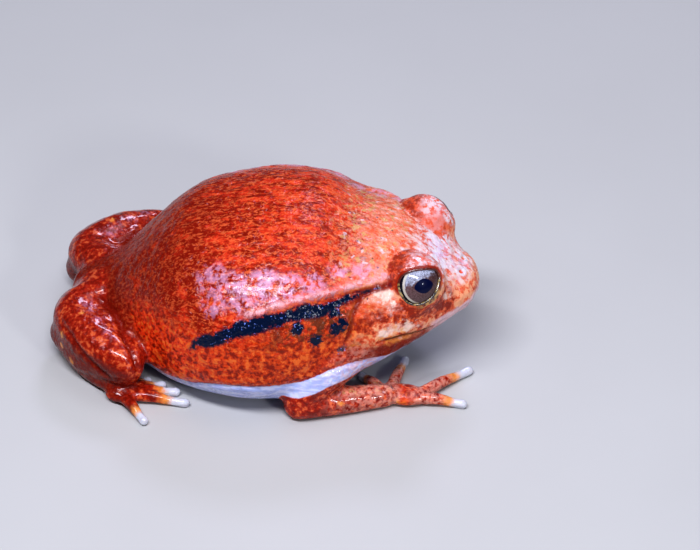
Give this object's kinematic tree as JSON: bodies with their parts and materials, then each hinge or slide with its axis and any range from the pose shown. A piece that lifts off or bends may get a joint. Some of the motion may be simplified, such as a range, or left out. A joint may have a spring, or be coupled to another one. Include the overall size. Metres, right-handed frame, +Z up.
{
  "type": "tomato frog",
  "caption": "Life-size plump red frog sitting with its belly on the ground, hind legs folded and hands set forward.",
  "frame": {"origin": "centre of the frog's bounding box on the ground it rests on", "axes": "+X from the rump towards the snout, +Y to the frog's left, +Z up"},
  "size_m": [0.094, 0.0698, 0.0373],
  "materials": {
    "skin": "wet, glossy",
    "eye": "polished"
  },
  "bodies": {
    "root": {"head": "skin", "torso": "skin", "eye_left": "eye", "eye_right": "eye", "upper_arm_left": "skin", "upper_arm_right": "skin", "forearm_left": "skin", "forearm_right": "skin", "hand_left": "skin", "hand_right": "skin", "thigh_left": "skin", "thigh_right": "skin", "shank_left": "skin", "shank_right": "skin", "foot_left": "skin", "foot_right": "skin"}
  },
  "joints": []
}
